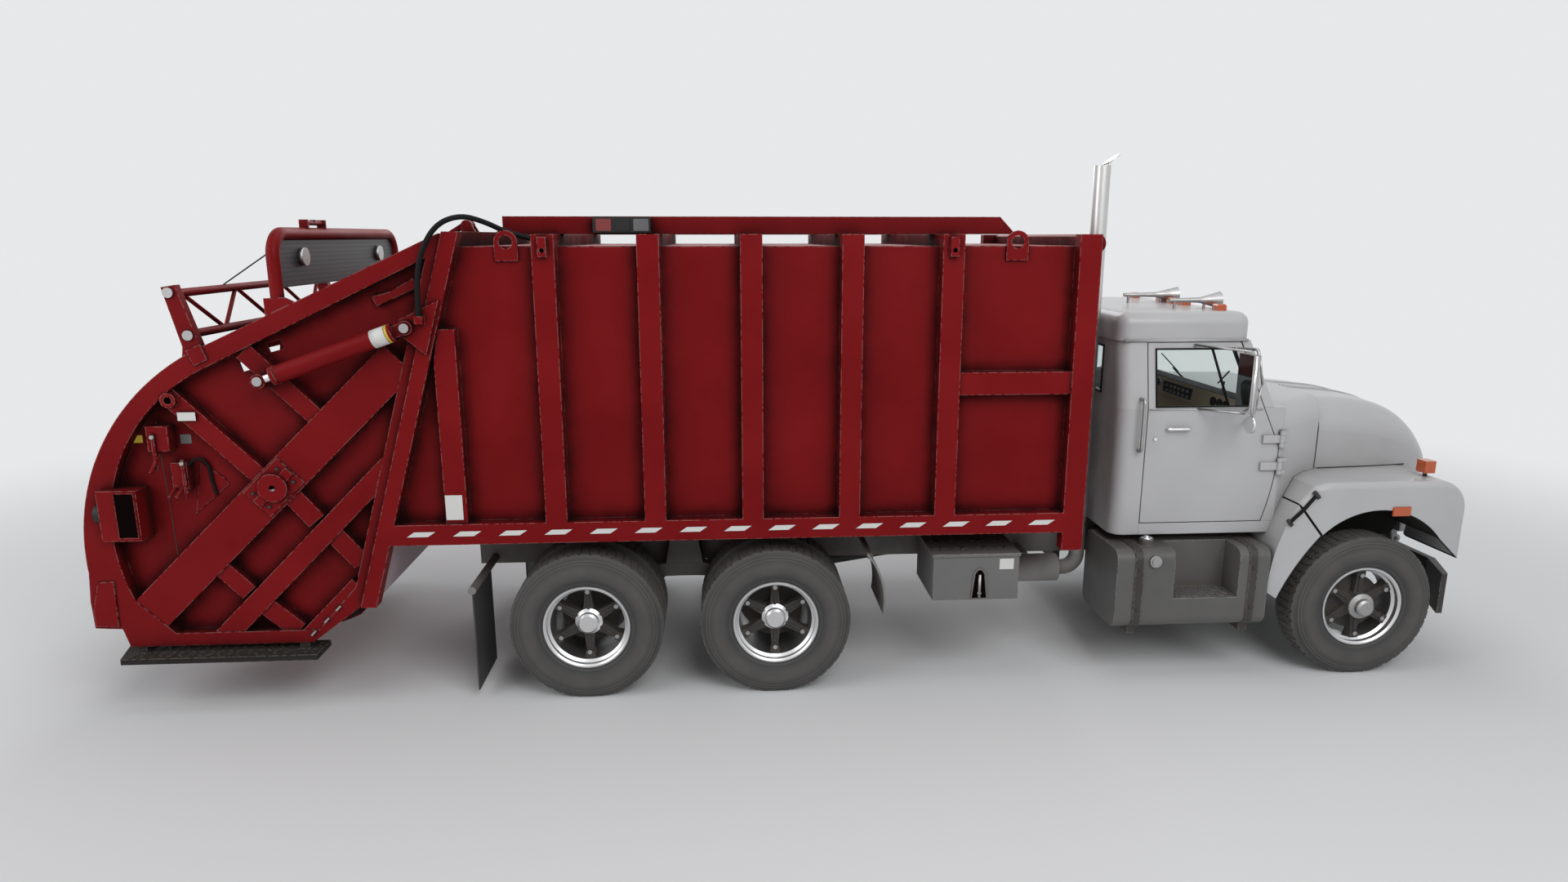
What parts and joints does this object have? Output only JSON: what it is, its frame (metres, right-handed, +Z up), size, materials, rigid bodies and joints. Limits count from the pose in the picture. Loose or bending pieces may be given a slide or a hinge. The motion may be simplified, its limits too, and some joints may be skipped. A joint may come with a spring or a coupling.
{
  "type": "rear-loading garbage truck",
  "caption": "Rear-loading garbage truck: bonneted cab, ribbed refuse body, hinged tailgate with hopper and packer blade, tandem drive axles.",
  "frame": {"origin": "on the ground under the middle of the truck's length and width", "axes": "+X forward, +Y to the truck's left, +Z up"},
  "size_m": [9.688, 2.644, 3.7517],
  "materials": {
    "red_paint": "worn gloss",
    "white_paint": "gloss",
    "grey_paint": "satin",
    "chassis_black": "matt",
    "tyre": "matt",
    "hose_rubber": "satin",
    "bright_metal": "polished",
    "glass": "clear",
    "lamp_lens": "clear",
    "trim": "matt",
    "seat_vinyl": "vinyl"
  },
  "bodies": {
    "chassis": {"axles": "chassis_black", "springs": "chassis_black", "frame": "chassis_black", "bumper": "grey_paint", "engine_and_radiator": "chassis_black", "body_floor": "red_paint", "body_front": "red_paint", "body_side_right": "red_paint", "body_side_left": "red_paint", "rear_sill_wall": "red_paint", "rear_header": "red_paint", "body_roof": "red_paint", "lifting_eyes": "red_paint", "hose_right": "hose_rubber", "hose_left": "hose_rubber", "lift_brackets": "red_paint", "cab_back": "white_paint", "cab_floor": "white_paint", "cab_glass": "glass", "cab_roof": "white_paint", "cowl": "white_paint", "seats": "seat_vinyl", "dashboard": "trim", "roof_lamps_and_horns": "bright_metal", "grab_handles": "bright_metal", "fuel_tanks": "grey_paint", "tank_straps": "chassis_black", "battery_box": "grey_paint", "exhaust": "bright_metal", "fenders_and_flaps": "white_paint"},
    "hood": {"hood": "white_paint", "grille": "bright_metal", "front_lamps": "lamp_lens"},
    "door_right": {"door_right": "white_paint", "mirror_right": "bright_metal"},
    "door_left": {"door_left": "white_paint", "mirror_left": "bright_metal"},
    "knuckle_right": {"knuckle_right": "chassis_black"},
    "knuckle_left": {"knuckle_left": "chassis_black"},
    "tie_rod": {"tie_rod": "chassis_black"},
    "wheel_front_right": {"wheel_front_right": "tyre"},
    "wheel_front_left": {"wheel_front_left": "tyre"},
    "wheels_mid_right": {"wheels_mid_right": "tyre"},
    "wheels_mid_left": {"wheels_mid_left": "tyre"},
    "wheels_rear_right": {"wheels_rear_right": "tyre"},
    "wheels_rear_left": {"wheels_rear_left": "tyre"},
    "tailgate": {"gate_side_right": "red_paint", "gate_side_left": "red_paint", "gate_cover": "red_paint", "hopper": "red_paint", "riding_steps": "chassis_black", "lamp_pods_and_controls": "red_paint", "hoop_guard": "red_paint", "truss": "red_paint"},
    "packer": {"packer_blade": "red_paint"},
    "lift_barrel_right": {"lift_barrel_right": "red_paint"},
    "lift_barrel_left": {"lift_barrel_left": "red_paint"},
    "lift_rod_right": {"lift_rod_right": "bright_metal"},
    "lift_rod_left": {"lift_rod_left": "bright_metal"}
  },
  "joints": [
    {"name": "hood_tilt", "type": "hinge", "parent": "chassis", "child": "hood", "pos_m": [4.769, 0, 0.81], "axis": [0, 1, 0], "range_deg": [0, 60]},
    {"name": "door_right_swing", "type": "hinge", "parent": "chassis", "child": "door_right", "pos_m": [3.384, -1.018, 1.66], "axis": [0, 0, 1], "range_deg": [0, 70]},
    {"name": "door_left_swing", "type": "hinge", "parent": "chassis", "child": "door_left", "pos_m": [3.384, 1.018, 1.66], "axis": [0, 0, -1], "range_deg": [0, 70]},
    {"name": "steer_left", "type": "hinge", "parent": "chassis", "child": "knuckle_left", "pos_m": [4.044, 0.87, 0.525], "axis": [0, 0, 1], "range_deg": [-32, 32]},
    {"name": "steer_right", "type": "hinge", "parent": "chassis", "child": "knuckle_right", "pos_m": [4.044, -0.87, 0.525], "axis": [0, 0, 1], "range_deg": [-32, 32]},
    {"name": "tie_rod_turn", "type": "hinge", "parent": "knuckle_left", "child": "tie_rod", "pos_m": [3.814, 0.87, 0.4], "axis": [0, 0, 1], "range_deg": [-32, 32]},
    {"name": "wheel_front_right_spin", "type": "hinge", "parent": "knuckle_right", "child": "wheel_front_right", "pos_m": [4.044, -1.055, 0.525], "axis": [0, 1, 0], "continuous": true},
    {"name": "wheel_front_left_spin", "type": "hinge", "parent": "knuckle_left", "child": "wheel_front_left", "pos_m": [4.044, 1.055, 0.525], "axis": [0, 1, 0], "continuous": true},
    {"name": "wheels_mid_right_spin", "type": "hinge", "parent": "chassis", "child": "wheels_mid_right", "pos_m": [-0.266, -1.065, 0.525], "axis": [0, 1, 0], "continuous": true},
    {"name": "wheels_mid_left_spin", "type": "hinge", "parent": "chassis", "child": "wheels_mid_left", "pos_m": [-0.266, 1.065, 0.525], "axis": [0, 1, 0], "continuous": true},
    {"name": "wheels_rear_right_spin", "type": "hinge", "parent": "chassis", "child": "wheels_rear_right", "pos_m": [-1.583, -1.065, 0.525], "axis": [0, 1, 0], "continuous": true},
    {"name": "wheels_rear_left_spin", "type": "hinge", "parent": "chassis", "child": "wheels_rear_left", "pos_m": [-1.583, 1.065, 0.525], "axis": [0, 1, 0], "continuous": true},
    {"name": "tailgate_lift", "type": "hinge", "parent": "chassis", "child": "tailgate", "pos_m": [-2.326, 0, 3.255], "axis": [0, 1, 0], "range_deg": [0, 60]},
    {"name": "packer_sweep", "type": "hinge", "parent": "tailgate", "child": "packer", "pos_m": [-3.577, 0, 1.567], "axis": [0, 1, 0], "range_deg": [0, 90]},
    {"name": "lift_barrel_right_turn", "type": "hinge", "parent": "chassis", "child": "lift_barrel_right", "pos_m": [-2.617, -1.258, 2.617], "axis": [0, 1, 0], "range_deg": [0, 66.33]},
    {"name": "lift_rod_right_slide", "type": "slide", "parent": "lift_barrel_right", "child": "lift_rod_right", "axis": [-0.9424, 0, -0.3344], "range_m": [0, 0.6939]},
    {"name": "lift_barrel_left_turn", "type": "hinge", "parent": "chassis", "child": "lift_barrel_left", "pos_m": [-2.617, 1.258, 2.617], "axis": [0, 1, 0], "range_deg": [0, 66.33]},
    {"name": "lift_rod_left_slide", "type": "slide", "parent": "lift_barrel_left", "child": "lift_rod_left", "axis": [-0.9424, 0, -0.3344], "range_m": [0, 0.6939]}
  ],
  "couplings": [
    {"joint": "steer_right", "follows": "steer_left", "ratio": 1},
    {"joint": "tie_rod_turn", "follows": "steer_left", "ratio": -1},
    {"joint": "lift_barrel_right_turn", "follows": "tailgate_lift", "ratio": 1.0972},
    {"joint": "lift_rod_right_slide", "follows": "tailgate_lift", "m_per_rad": 0.65786},
    {"joint": "lift_barrel_left_turn", "follows": "tailgate_lift", "ratio": 1.0972},
    {"joint": "lift_rod_left_slide", "follows": "tailgate_lift", "m_per_rad": 0.65786}
  ]
}
